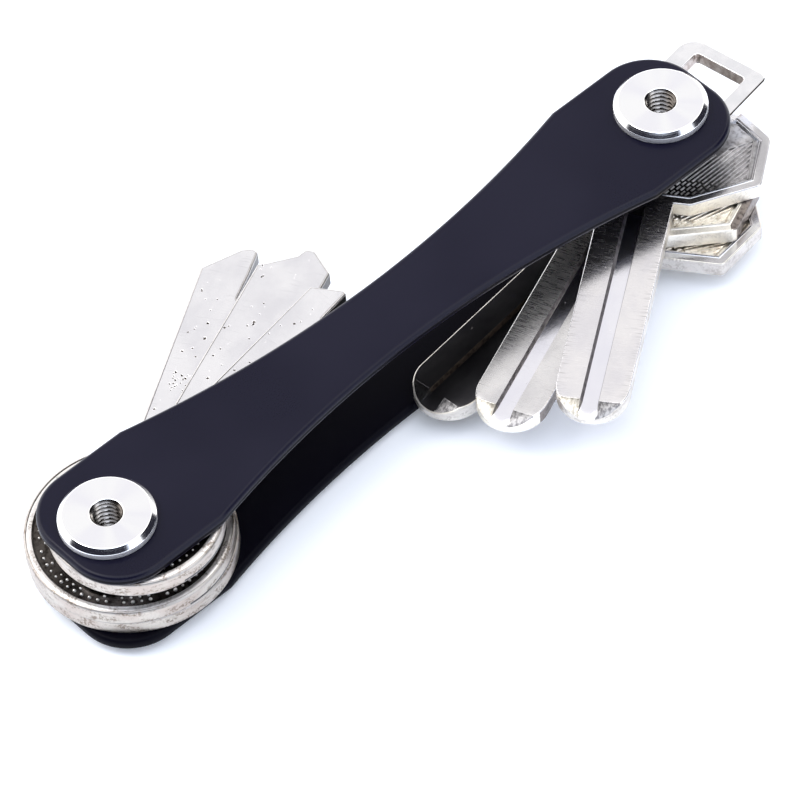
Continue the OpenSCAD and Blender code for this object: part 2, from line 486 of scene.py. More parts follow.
def navy_look():
    """Satin anodised top of a plate."""
    k = Look("navy_anodised", (0.005, 0.0045, 0.014), 0.0, 0.4, Specular_IOR_Level=0.19)
    cloud = k.noise((0.05, 0.05, 0.05), 2)
    k.set("Base Color", k.mix(k.ramp(cloud, 0.35, 0.65),
                              (0.0030, 0.0027, 0.0125), (0.0048, 0.0044, 0.0155)))
    fine = k.noise((9, 9, 9), 3, 0.6)
    both = k.math("ADD", k.math("MULTIPLY", cloud, 0.7), k.math("MULTIPLY", fine, 0.3))
    k.set("Roughness", k.ramp(both, 0.3, 0.7, 0.26, 0.36))
    k.bump(fine, 0.12, 0.02)
    return k.mat


def navy_shaded_look():
    """A darker copy of the same finish with less sheen, as painted shade on the edge and on the faces
    that look at the keys.
    """
    k = Look("navy_painted_shade", (0.0015, 0.0014, 0.004), 0.0, 0.42, Specular_IOR_Level=0.05)
    fine = k.noise((6, 6, 6), 3, 0.6)
    k.set("Base Color", k.mix(k.ramp(fine, 0.3, 0.7),
                              (0.0010, 0.0009, 0.0035), (0.0016, 0.0014, 0.0045)))
    k.bump(fine, 0.10, 0.02)
    return k.mat


def from_axis(k):
    """x, y and the distance from the piece's Z axis, in mm."""
    sep = node(k.tree, "ShaderNodeSeparateXYZ", {"Vector": k.place()})
    x, y = sep.outputs[0], sep.outputs[1]
    squares = k.math("ADD", k.math("MULTIPLY", x, x), k.math("MULTIPLY", y, y))
    return x, y, k.math("SQRT", squares)


def turned_look():
    """Turned steel: fine rings, and faint fans of painted reflection across them."""
    k = Look("turned_steel", (0.86, 0.86, 0.885), 1.0, 0.12, Anisotropic=0.3)
    tree = k.tree
    tangent = node(tree, "ShaderNodeTangent", direction_type="RADIAL", axis="Z")
    tree.links.new(tangent.outputs["Tangent"], k.bsdf.inputs["Tangent"])
    x, y, rad = from_axis(k)
    angle = k.math("ARCTAN2", y, x)
    outward = node(tree, "ShaderNodeCombineXYZ", {0: k.math("MULTIPLY", rad, 9.0)}).outputs[0]
    rings = node(tree, "ShaderNodeTexNoise",
                 {"Vector": outward, "Scale": 1.0, "Detail": 2.0}).outputs["Fac"]
    around = node(tree, "ShaderNodeCombineXYZ",
                  {0: k.math("COSINE", angle), 1: k.math("SINE", angle)}).outputs[0]
    fans = node(tree, "ShaderNodeTexNoise",
                {"Vector": around, "Scale": 1.1, "Detail": 1.5}).outputs["Fac"]
    # painted reflection: faint lighter and darker fans round the axis
    k.set("Base Color", k.mix(k.ramp(fans, 0.38, 0.62), (0.93, 0.925, 0.965), (1.0, 1.0, 1.0)))
    k.set("Roughness", k.ramp(rings, 0.3, 0.7, 0.09, 0.15))
    k.bump(rings, 0.10, 0.01)
    return k.mat


def flange_side_look():
    """The wall of a flange, less of a mirror than its top, and darker as painted shade."""
    k = Look("flange_side", (0.60, 0.59, 0.61), 0.4, 0.4)
    k.bump(k.noise((3, 3, 14), 3), 0.15, 0.02)
    return k.mat


def thread_look():
    """Bright crests, roots darkened as painted shade, and one side darker as painted shade."""
    k = Look("thread_steel", (0.21, 0.19, 0.175), 1.0, 0.22)
    x, y, rad = from_axis(k)
    # painted shade: roots much darker than the crests
    tone = k.mix(k.ramp(rad, CREST_R + 0.02, ROOT_R - 0.06),
                 (0.44, 0.415, 0.395), (0.045, 0.038, 0.034))
    # painted shade: darker towards one side of the post
    painted_shade_side = k.math("SUBTRACT", k.math("MULTIPLY", x, 0.78), k.math("MULTIPLY", y, 0.63))
    k.set("Base Color", k.mix(k.ramp(painted_shade_side, -0.4, 1.2, 0.0, 0.8), tone, (0.06, 0.048, 0.040)))
    k.bump(k.noise((6, 6, 3), 3), 0.2, 0.02)
    return k.mat


def plain_steel_look():
    """Polished sheet with a fine grain along X."""
    k = Look("polished_steel", (0.88, 0.88, 0.90), 1.0, 0.16)
    grain = k.noise((0.5, 7, 7), 3, 0.55)
    blotch = k.noise((0.35, 0.35, 0.35), 3)
    k.set("Roughness", k.ramp(grain, 0.3, 0.7, 0.13, 0.24))
    k.set("Base Color", k.mix(k.ramp(blotch, 0.35, 0.65), (0.86, 0.86, 0.875), (0.95, 0.945, 0.95)))
    k.bump(grain, 0.06, 0.015)
    return k.mat


def slot_wall_shade_look():
    """The sheared walls of the sheet's slot and hole, darker and browner as painted shade."""
    k = Look("slot_wall_painted_shade", (0.52, 0.45, 0.41), 1.0, 0.38)
    blotch = k.noise((1.6, 1.6, 1.2), 4, 0.6)
    k.set("Base Color", k.mix(k.ramp(blotch, 0.3, 0.72), (0.36, 0.30, 0.27), (0.66, 0.60, 0.57)))
    k.bump(k.noise((7, 7, 1.2), 3), 0.35, 0.04)
    return k.mat


def nickel_look(name, warm, cool, rough, scratch, pits=0.0, ticks=0.06, worn_at=None):
    """Nickel plate with fine scratches across the piece and scattered dark pits.

    rough is its roughness and scratch how far that varies. ticks is the strength of the deeper
    scratches. worn_at is the y of a blade's middle, for nicks along both its edges.
    """
    k = Look(name, warm, 1.0, rough)
    broad = k.noise((0.16, 0.22, 0.3), 3, 0.55)
    lines = k.noise((7.5, 0.55, 1.0), 4, 0.62, distortion=0.15)
    deep = k.ramp(k.noise((3.4, 0.30, 1.0), 2, 0.5), 0.60, 0.74)
    fine = k.noise((16, 16, 16), 2, 0.6)
    spots = k.ramp(k.noise((1.5, 1.9, 1.5), 2.5, 0.5), 0.74 - pits, 0.80 - pits)
    tone = k.mix(k.ramp(broad, 0.3, 0.7), cool, warm)
    tone = k.mix(k.math("MULTIPLY", deep, 3 * ticks), tone, tuple(0.72 * c for c in cool))
    tone = k.mix(k.math("MULTIPLY", spots, 0.75), tone, (0.10, 0.09, 0.085))
    if worn_at is not None:
        sep = node(k.tree, "ShaderNodeSeparateXYZ", {"Vector": k.coord})
        off = k.math("ABSOLUTE", k.math("SUBTRACT", sep.outputs[1], worn_at))
        edge = k.ramp(off, BLADE_W / 2 - 1.3, BLADE_W / 2 - 0.1)
        nick = k.ramp(k.noise((4.6, 0.35, 1.0), 3, 0.6), 0.50, 0.66)
        nicked = k.math("MULTIPLY", k.math("MULTIPLY", edge, nick), 0.35)
        tone = k.mix(nicked, tone, (0.30, 0.285, 0.28))
    k.set("Base Color", tone)
    scratched = k.ramp(lines, 0.25, 0.75, rough - scratch, rough + 1.5 * scratch)
    k.set("Roughness", k.math("ADD", scratched, k.math("MULTIPLY", spots, 0.3)))
    n = k.bump(lines, scratch, 0.03)
    n = k.bump(fine, 0.10, 0.02, n)
    n = k.bump(k.noise((0.55, 0.8, 0.6), 3, 0.55), 0.22, 0.05, n)
    n = k.bump(deep, ticks, -0.03, n)
    k.bump(spots, 0.5, -0.08, n)
    return k.mat


def wall_look(name, warm, cream, stains=0.8, rough=0.34):
    """The cast side of a key: warm and cream, with brown stains in places."""
    k = Look(name, warm, 1.0, rough)
    broad = k.noise((0.28, 0.28, 0.5), 2)
    grain = k.noise((4.5, 4.5, 2.6), 4, 0.6)
    stain = k.math("MULTIPLY", k.ramp(k.noise((0.42, 0.42, 1.1), 3, 0.6), 0.44, 0.62),
                   k.ramp(k.noise((3.4, 3.4, 3.0), 3, 0.6), 0.40, 0.60))
    tone = k.mix(k.ramp(broad, 0.35, 0.65), warm, cream)
    tone = k.mix(k.math("MULTIPLY", stain, stains), tone, (0.17, 0.125, 0.09))
    k.set("Base Color", k.mix(k.ramp(grain, 0.5, 0.75, 0.0, 0.35), tone,
                              tuple(0.66 * c for c in warm)))
    k.bump(grain, 0.3, 0.05)
    return k.mat


def field_look(name, light, dark, shade_reach=None):
    """Cast metal in a hollow. The last argument places painted shade along the middle: (|y| up to
    which it is full, |y| past which there is none).
    """
    k = Look(name, light, 1.0, 0.28)
    speck = k.noise((1.7, 1.7, 1.7), 4, 0.6)
    tone = k.mix(k.ramp(speck, 0.42, 0.70), light, dark)
    if shade_reach:
        # painted shade along the piece's middle, full near it and fading out sideways
        sep = node(k.tree, "ShaderNodeSeparateXYZ", {"Vector": k.coord})
        unshaded = k.ramp(k.math("ABSOLUTE", sep.outputs[1]), *shade_reach)
        tone = k.mix(unshaded, tuple(0.12 * c for c in dark), tone)
    k.set("Base Color", tone)
    k.bump(k.noise((4, 4, 4), 3), 0.22, 0.04)
    return k.mat


def facet_look(name, light, dark):
    """The ground bevel at a blank's tip."""
    k = Look(name, light, 1.0, 0.36)
    speck = k.noise((1.8, 3.0, 1.8), 4, 0.7)
    k.set("Base Color", k.mix(k.ramp(speck, 0.4, 0.62), light, dark))
    k.bump(k.noise((3, 6, 3), 3), 0.3, 0.03)
    return k.mat


NAVY, NAVY_SHADED = navy_look(), navy_shaded_look()
TURNED, THREAD = turned_look(), thread_look()
STEEL, SLOT_WALL_SHADE = plain_steel_look(), slot_wall_shade_look()
# y of the blade's middle on the two far keys that show nicks
TOP_BLADE_Y, MIDDLE_BLADE_Y = -1.1, -1.0
BLANK = nickel_look("blank_nickel", (0.90, 0.875, 0.87), (0.80, 0.78, 0.80), 0.22, 0.05,
                    worn_at=TOP_BLADE_Y)
WORN = nickel_look("worn_nickel", (0.86, 0.84, 0.83), (0.68, 0.665, 0.67), 0.28, 0.045,
                   worn_at=MIDDLE_BLADE_Y)
# painted reflection: a near-black copy of the nickel for the bottom far key, for the dark plates it
# mirrors
SHADED_NICKEL = nickel_look("nickel_painted_reflection", (0.095, 0.092, 0.098), (0.055, 0.053, 0.06), 0.28, 0.004,
                   ticks=0.0)
CUT = nickel_look("key_nickel", (0.91, 0.90, 0.91), (0.80, 0.79, 0.815), 0.22, 0.03, 0.012)
# painted shade: a darker grey for the rounded edges of the near blades
CUT_EDGE_SHADE = field_look("key_edge_painted_shade", (0.52, 0.50, 0.495), (0.42, 0.405, 0.40))
CUT_RIM = wall_look("key_rim", (0.84, 0.80, 0.775), (0.90, 0.875, 0.85))
# painted shade: a darker copy of the rim for a near head's rounded edge
ROUND_RIM_SHADE = wall_look("key_rim_round_painted_shade", (0.40, 0.37, 0.35), (0.46, 0.43, 0.405))
SHADE = field_look("key_side_dark", (0.10, 0.097, 0.10), (0.045, 0.042, 0.042))
FLANGE_SIDE = flange_side_look()
# painted shade: dark brown for key B's walls facing one way and for one corner of its rim
BROWN = field_look("blank_side_brown", (0.30, 0.26, 0.24), (0.08, 0.065, 0.058))
RIB = field_look("key_ribs", (0.58, 0.565, 0.57), (0.36, 0.35, 0.35))
BEAD = field_look("key_beads", (0.80, 0.78, 0.76), (0.50, 0.48, 0.46))
HEAD = nickel_look("head_nickel", (0.68, 0.665, 0.67), (0.54, 0.53, 0.54), 0.22, 0.03)
WALL = wall_look("key_side", (0.53, 0.465, 0.42), (0.60, 0.56, 0.51))
# painted light: a lighter copy of the key side for the far keys, making up for the shade they stand
# in
FAR_WALL = wall_look("blank_side", (0.94, 0.89, 0.79), (1.0, 0.96, 0.88), 0.22, 0.5)
LOW_WALL = wall_look("blank_side_grey", (0.62, 0.585, 0.56), (0.74, 0.705, 0.67), 0.35, 0.45)
BLADE_WALL = wall_look("blank_blade_side", (0.66, 0.625, 0.58), (0.80, 0.765, 0.715), 0.4, 0.4)
CREAM = field_look("key_field_cream", (0.90, 0.85, 0.76), (0.52, 0.45, 0.37))
CREAM_RIM = wall_look("blank_rim_cream", (0.92, 0.88, 0.80), (0.98, 0.94, 0.87), 0.2, 0.4)
# painted shade along the middle of the top far key's hollow, through the post
FIELD = field_look("key_field", (0.46, 0.45, 0.455), (0.23, 0.222, 0.22), (3.5, 9.0))
# near-black: painted shade in the near keys' hollows and pits and on the loop's edge
FIELD_PAINTED_SHADE = field_look("key_field_painted_shade", (0.085, 0.075, 0.068), (0.020, 0.017, 0.015))
GROOVE = nickel_look("groove_floor", (0.92, 0.91, 0.95), (0.86, 0.85, 0.91), 0.16, 0.02)
# painted shade: the groove's walls in darker copies, one wall darker than the other
GROOVE_WALL = field_look("groove_wall", (0.50, 0.48, 0.49), (0.26, 0.245, 0.25))
GROOVE_LINE = field_look("groove_line", (0.24, 0.23, 0.235), (0.16, 0.15, 0.155))
# painted shade: near-black groove walls for the bottom far key
SHADED_GROOVE = field_look("groove_painted_shade", (0.12, 0.10, 0.088), (0.05, 0.043, 0.04))
# painted light and shade: a darker and a lighter copy for the two bevel facets at a blank's tip
FACET = facet_look("key_facet", (0.36, 0.35, 0.35), (0.13, 0.125, 0.13))
LIGHT_FACET = facet_look("key_facet_light", (0.66, 0.63, 0.57), (0.36, 0.33, 0.28))


def hand_in(o, body, slot, *nodes):
    """Lets the object ride on its body and stand in for its CAD nodes."""
    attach(o, body)
    if nodes:
        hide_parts(*nodes)
    return o


# ---- plates
def plate_outline():
    """Round corners at both ends, and a waist that is one arc on each side."""
    half_len, half_w = PLATE_LEN / 2, PLATE_W / 2
    cx, cy = half_len - CORNER_R, half_w - CORNER_R
    mid = (NEAR_X + FAR_X) / 2
    rise, half = (PLATE_W - WAIST_W) / 2, (FAR_X - NEAR_X) / 2 - SHOULDER
    r = (half ** 2 + rise ** 2) / (2 * rise)
    waist = [(x, WAIST_W / 2 + r - math.sqrt(r * r - x * x)) for x in np.linspace(half, -half, 61)]
    loop = arc(cx, -cy, CORNER_R, -math.pi / 2, 0, 20)
    loop += arc(cx, cy, CORNER_R, 0, math.pi / 2, 20)
    loop += waist
    loop += arc(-cx, cy, CORNER_R, math.pi / 2, math.pi, 20)
    loop += arc(-cx, -cy, CORNER_R, math.pi, 1.5 * math.pi, 20)
    loop += [(x, -y) for x, y in waist[::-1]]
    return [(x + mid, y) for x, y in tidy(loop)]


def make_plate(name):
    z0, z1 = levels(name)
    holes = [circle(x, 0, PLATE_HOLE_R, 64, -1) for x in (NEAR_X, FAR_X)]
    # the sheen is on the faces that look away from the keys; the others get the darker copy as
    # painted shade
    mats = (0, 1, 1, 0) if name == "top_plate" else (1, 1, 0, 1)
    s = slab(plate_outline(), holes, z0, z1, PLATE_EDGE, 0.12, steps=5, mats=mats)
    return hand_in(s.object(name + "_skin", [NAVY, NAVY_SHADED]), "organiser", "plates", name)


# ---- posts and screws
def make_post(name, x):
    """Barrel and flange in one, with a real thread from end to end."""
    flange = name.replace("post", "flange")
    z0, z1 = levels(name)[0], levels(flange)[1]
    seat = levels("top_plate")[1]
    n = 128
    ang = np.arange(n) * TAU / n
    c, d = np.cos(ang), np.sin(ang)

    def ring(r, z):
        r = np.broadcast_to(r, n)
        return np.column_stack([r * c, r * d, np.broadcast_to(z, n)])

    inner = []
    count = int((z1 - MOUTH - z0) / PITCH * ROWS_PER_TURN)
    for i in range(count + 1):
        z = z0 + (z1 - MOUTH - z0) * i / count
        phase = (z / PITCH - ang / TAU) % 1.0
        tooth = np.clip(1.35 * (1 - np.abs(2 * phase - 1)) - 0.15, 0, 1)
        fade = min(1.0, (z1 - MOUTH - z) / (0.6 * PITCH))
        inner.append(ring(CREST_R + (ROOT_R - CREST_R) * tooth * fade, z))
    b, r = FLANGE_BEVEL, FLANGE_R
    soft = 0.06
    mouth = CREST_R + MOUTH
    # mouth of the thread
    outer = [(CREST_R + 0.03, z1 - MOUTH + 0.02), (mouth - 0.06, z1 - 0.07),
             (mouth - 0.02, z1 - 0.03), (mouth + 0.04, z1), (mouth + 0.10, z1)]
    # flat top, and the rounded edge where the bevel starts
    outer += [(3.4, z1), (r - b - soft - 0.06, z1), (r - b - soft, z1),
              (r - b + soft * 0.4, z1 - soft * 0.5), (r - b + soft, z1 - soft)]
    # bevel's lower edge and the wall, down to the plate
    outer += [(r - soft, z1 - b + soft), (r - soft * 0.4, z1 - b + soft * 0.4),
              (r, z1 - b - soft), (r, z1 - b - soft - 0.05), (r, seat + 0.14),
              (r - 0.05, seat + 0.05), (r - 0.12, seat + 0.01)]
    # barrel
    outer += [(BARREL_R, seat + 0.01), (BARREL_R, z0 + 0.1), (BARREL_R - 0.1, z0)]
    s = Shape()
    turned = [ring(q, z) for q, z in outer]
    s.rings(inner + turned[:2], 1)
    s.rings(turned[1:] + [inner[0]], 0)
    o = s.object(name + "_turned", [TURNED, THREAD, FLANGE_SIDE], (x, 0, 0))

    # painted shade: the flange's wall gets the darker material
    def test(c, n, m):
        return 2 if abs(n.z) < 0.2 and math.hypot(c.x, c.y) > FLANGE_R - 0.05 else None
    paint(o, test)
    return hand_in(o, "organiser", "posts", name, flange)


def make_screw(name, x):
    """Head and shank in one, with a coin slot cut right across the head."""
    shank = name.replace("screw", "shank")
    z0, z1 = levels(name)[0], levels(shank)[1]
    r, b, top = FLANGE_R, HEAD_BEVEL, levels(name)[0] + HEAD_T
    prof = [(0.02, z0), (2.5, z0), (r - b, z0), (r - b * 0.8, z0 + 0.03),
            (r - 0.04, z0 + b - 0.05), (r, z0 + b), (r, top - 0.1), (r - 0.1, top), (1.9, top),
            (1.9, z1 - 0.2), (1.7, z1), (0.02, z1)]
    o = lathe(prof, 96).object(name + "_turned", [TURNED], (x, 0, 0))
    me = bpy.data.meshes.new(name + "_slot")
    w, depth, long = COIN_SLOT_HALF_W, COIN_SLOT_DEPTH, 2 * r
    v = [(sx * long, sy * w, z0 + sz) for sx in (-1, 1) for sy in (-1, 1) for sz in (-1.0, depth)]
    f = [(0, 1, 3, 2), (4, 6, 7, 5), (0, 4, 5, 1), (2, 3, 7, 6), (0, 2, 6, 4), (1, 5, 7, 3)]
    me.from_pydata([tuple(c * MM for c in p) for p in v], [], f)
    cutter = bpy.data.objects.new(name + "_slot", me)
    bpy.context.scene.collection.objects.link(cutter)
    cutter.location.x = x * MM
    m = o.modifiers.new("slot", "BOOLEAN")
    m.object, m.operation, m.solver = cutter, "DIFFERENCE", "EXACT"
    bpy.context.view_layer.update()
    graph = bpy.context.evaluated_depsgraph_get()
    done = bpy.data.meshes.new_from_object(o.evaluated_get(graph))
    o.modifiers.clear()
    o.data = done
    bpy.data.objects.remove(cutter)
    return hand_in(o, "organiser", "posts", name, shank)


def make_spacer(name, x):
    z0, z1 = levels(name)
    ro, ri, e = SPACER_R, PLATE_HOLE_R, 0.12
    prof = [(ri, z0 + e), (ri + e, z0), (ro - e, z0), (ro, z0 + e),
            (ro, z1 - e), (ro - e, z1), (ri + e, z1), (ri, z1 - e)]
    o = lathe(prof, 64).object(name + "_ring", [STEEL], (x, 0, 0))
    return hand_in(o, "organiser", "spacers", name)


# ---- keys
RIM = 0.95           # width of a head's rim, from its edge
SINK = 0.38          # depth of the hollow inside the rim
BEVEL = 2.0          # length of the bevel at a blank's tip
BEVEL_SLOPE = math.tan(math.radians(31))
GROOVE_V = (-1.1, -0.82, 0.95, 1.1)      # across a blank's groove: edge, floor, floor, edge
GROOVE_DEEP = 0.55
GROOVE_RUN = 0.9     # length over which the groove reaches its depth
RIB_WAY = math.radians(144.6)
RIB_PITCH = 0.48
RIB_W, RIB_H = 0.28, 0.16
RIB_PATCH = [(8.3, 0.6), (8.1, 4.7), (4.6, 11.1), (-1.5, 10.8), (0.3, 8.0), (6.0, 0.6)]
TIP_MARGIN = 0.35    # how far a blank's groove and bevel line stay inside its round tip

# distance inside a head's edge and height of its face there
RIM_STEPS = (RIM - 0.02, RIM + 0.06, RIM + 0.12, RIM + 0.24, RIM + 0.34, RIM + 0.55)
RIM_HEIGHTS = (0, -0.16, -0.14, 0.03, 0.0, -SINK)
CAST_STEPS = (0.3, 0.45, 0.62, 0.8, 0.95, 1.2)
CAST_HEIGHTS = (-0.11, -0.05, -0.012, 0.0, 0.0, -SINK)
CAST_START = 0.29    # nearer the edge than this, slab() has rounded it


def rim_profile(d):
    """Height of a many-sided head's face at distance d inside its edge."""
    return np.interp(d, (0,) + RIM_STEPS, (0,) + RIM_HEIGHTS)


def cast_profile(d):
    """The same for a round head: a rim that swells, and a plain hollow."""
    return np.where(d > CAST_START, np.interp(d, CAST_STEPS, CAST_HEIGHTS), 0.0)


def polygon_depth(loop):
    """Distance inside each side of a convex anticlockwise loop, smallest taken."""
    p = np.array(loop, float)
    e = np.roll(p, -1, 0) - p
    n = np.stack([-e[:, 1], e[:, 0]], 1) / np.linalg.norm(e, axis=1)[:, None]

    def depth(v):
        return np.min(np.einsum("vkc,kc->vk", v[:, None, :] - p[None], n), 1)
    return depth


def closed(loop):
    """The loop as a line that comes back to its first point."""
    return list(loop) + [loop[0]]


def clip(p, q, loop):
    """The part of segment p-q inside a convex anticlockwise loop, or None."""
    t0, t1 = 0.0, 1.0
    p, q = np.array(p, float), np.array(q, float)
    pts = np.array(loop, float)
    for a, b in zip(pts, np.roll(pts, -1, 0)):
        n = np.array([-(b - a)[1], (b - a)[0]])
        s, e = float((p - a) @ n), float((q - a) @ n)
        if s < 0 and e < 0:
            return None
        if s * e < 0:
            t = s / (s - e)
            t0, t1 = (max(t0, t), t1) if s < 0 else (t0, min(t1, t))
    return (p + (q - p) * t0, p + (q - p) * t1) if t1 - t0 > 1e-6 else None


def make_blank(name, head, side, tip):
    """Uncut key: many-sided head with a ribbed field, centre groove, bevelled half-round tip."""
    z0, z1 = levels(name)
    r = BLADE_W / 2
    hx, hy = head
    corners = [(x + hx, y + hy) for x, y in [(a, -b) for a, b in BLANK_SIDE] + BLANK_SIDE[::-1]]
    hexa = fillet(corners, 0.9, 4)
    blade = [(0, side - r), (tip - r, side - r)]
    blade += arc(tip - r, side, r, -math.pi / 2, math.pi / 2, 28)[1:-1]
    blade += [(tip - r, side + r), (0, side + r)]
    outline = merged([hexa, blade])
    start = hx + BLANK_SIDE[3][0] + 1.2
    groove = tuple(side + v for v in GROOVE_V)
    depth_in = polygon_depth(corners)

    def relief(v):
        d = depth_in(v)
        return np.where(d > 0, rim_profile(np.maximum(d, 0)), 0.0)

    def height(v):
        g = np.interp(v[:, 1], groove, [0, -GROOVE_DEEP, -GROOVE_DEEP, 0])
        g *= np.clip((v[:, 0] - start) / GROOVE_RUN, 0, 1)
        return np.where(depth_in(v) > 0.2, relief(v), g)

    def carve(xy, z):
        return np.minimum(z, z1 - np.maximum(0, xy[:, 0] - (tip - BEVEL)) * BEVEL_SLOPE)

    rims = [closed(inset(corners, d)) for d in RIM_STEPS]
    lines = list(rims)
    for y in groove:
        end = tip - r + math.sqrt(max(0, (r - TIP_MARGIN) ** 2 - (y - side) ** 2))
        lines.append([(x, y) for x in (start, start + GROOVE_RUN, tip - BEVEL, end)])
    half = math.sqrt((r - TIP_MARGIN) ** 2 - (r - BEVEL) ** 2)
    lines.append([(tip - BEVEL, side - half), (tip - BEVEL, side + half)])
    rounding = 11 if name == "far_key_bottom" else 0
    shape = slab(outline, [circle(0, 0, KEY_HOLE_R, 48, -1)], z0, z1, 0.16, 0.08,
                 (lines, (), height), (rims, (), relief), steps=3, mats=(0, 1, 0, rounding),
                 carve=carve)
    # ribs over the part of the field next to the blade, broken up towards it
    for face, z in ((1, z1 - SINK), (-1, z0 + SINK)):
        for flip in (1, -1):
            u = np.array([math.cos(RIB_WAY), flip * math.sin(RIB_WAY)])
            n = np.array([-u[1], u[0]])
            patch = [(x + hx, flip * y + hy) for x, y in RIB_PATCH][::flip]
            for k in range(-30, 31):
                mid = np.array([hx + 4, hy + flip * 6]) + n * (k * RIB_PITCH)
                seg = clip(mid - u * 30, mid + u * 30, patch)
                if seg is None:
                    continue
                for a, b in dashes(seg, hx + 6.4, 0.15 * (k % 2)):
                    bar(shape, a, b, z - face * 0.01, RIB_W, RIB_H, face, 9)
        # raised border of the ribbed patch
        for flip in (1, -1):
            for a, b in ((3, 4), (2, 3)):
                p, q = ((RIB_PATCH[i][0] + hx, flip * RIB_PATCH[i][1] + hy) for i in (a, b))
                bar(shape, p, q, z - face * 0.01, 0.24, 0.2, face, 9)
    # burr along the top of the bevel, beside the groove
    for a, b in ((groove[3] + 0.1, side + half), (side - half, groove[0] - 0.1)):
        bar(shape, (tip - BEVEL, a), (tip - BEVEL, b), z1 - 0.01, 0.16, 0.035, 1, 0)
    metal = {"far_key_top": BLANK, "far_key_middle": WORN, "far_key_bottom": SHADED_NICKEL}[name]
    mats = [metal, FAR_WALL, FIELD, FACET, LIGHT_FACET, GROOVE, GROOVE_WALL, GROOVE_LINE,
            HEAD, RIB, BROWN, BLADE_WALL]
    if name == "far_key_middle":
        mats[2], mats[8], mats[9] = CREAM, CREAM_RIM, CREAM
    if name == "far_key_bottom":
        mats[1], mats[2], mats[9] = LOW_WALL, CREAM, CREAM
        # painted shade and reflection: the bottom far key's lower facet, groove floor and groove
        # walls
        mats[4:8] = SHADE, SHADED_NICKEL, SHADED_GROOVE, SHADED_GROOVE
    return shape, mats, depth_in


def dashes(seg, limit, shift):
    """The segment whole where x is below the limit, and in short strokes past it."""
    p, q = seg
    if p[0] < q[0]:
        p, q = q, p
    if p[0] <= limit:
        return [(p, q)]
    out, step = [], (q - p) / np.linalg.norm(q - p)
    here = p + step * shift
    while here[0] > limit and np.linalg.norm(q - here) > 0.75:
        out.append((here, here + step * 0.7))
        here = here + step * 0.95
    if np.linalg.norm(q - here) > 0.8:
        out.append((here, q))
    return out


def paint(o, mats_test):
    """Gives a face another material where mats_test(centre, normal, index) says so.

    The centre is on the piece's own axes, in mm, and the normal is the turned piece's.
    """
    me = o.data
    own = np.empty(len(me.vertices) * 3)
    me.attributes[OWN].data.foreach_get("vector", own)
    own = own.reshape(-1, 3)
    for f in me.polygons:
        got = mats_test(Vector(own[list(f.vertices)].mean(0)), f.normal, f.material_index)
        if got is not None:
            f.material_index = got


def far_key(name, head, side, tip):
    """An uncut key with its faces painted. The indices are places in make_blank's materials."""
    z0, z1 = levels(name)
    shape, mats, depth = make_blank(name, head, side, tip)
    o = shape.object(name + "_blank", mats, (FAR_X, 0, 0), FAR_OPEN[name], sharp=34)

    def test(c, n, m):
        # painted shade on the walls of key B that face 275 to 345 degrees
        if m == 1 and name == "far_key_middle":
            way = math.degrees(math.atan2(n.y, n.x)) % 360
            return 10 if 275 < way < 345 and abs(n.z) < 0.5 and c.x > 0 else None
        if m == 1 and c.x > head[0] + 12:
            return 11
        if m != 0:
            return None
        deep = float(depth(np.array([[c.x, c.y]]))[0])
        if deep > RIM + 0.5:
            return 2 if abs(n.z) > 0.999 and z0 + SINK - 0.01 < c.z < z1 - SINK + 0.01 else None
        if deep > -0.2:
            # painted shade on one corner of key B's rim
            shaded_corner = deep < RIM and c.y - head[1] > 11.85 and c.x - head[0] < 5.4
            return 10 if shaded_corner and name == "far_key_middle" else 8
        if c.z < z0 + 0.35:
            return None
        # painted light and shade: the facet on the high side of y gets the darker copy, the other the
        # lighter
        if c.x > tip - BEVEL and 0.3 < n.z < 0.95:
            if abs(c.y - side) < 0.9:
                return None
            return 3 if c.y > side else 4
        if c.z < z1 - GROOVE_DEEP + 0.02 and n.z > 0.95:
            return 5
        # painted shade: the groove's two walls, the one on the high side of y the darker
        if abs(c.y - side) < 1.2 and n.z < 0.9 and c.z < z1 - 0.1:
            return 6 if c.y < side else 7
        return None
    paint(o, test)
    return hand_in(o, name, "keys", name)


def speckled(seed, count, us, vs, size):
    """Small pits scattered over a patch of a blade, as (x, y, radius, depth)."""
    pick = random.Random(seed)
    return [(pick.uniform(*us), pick.uniform(*vs), size * pick.uniform(0.6, 1.3), 0.08)
            for _ in range(count)]


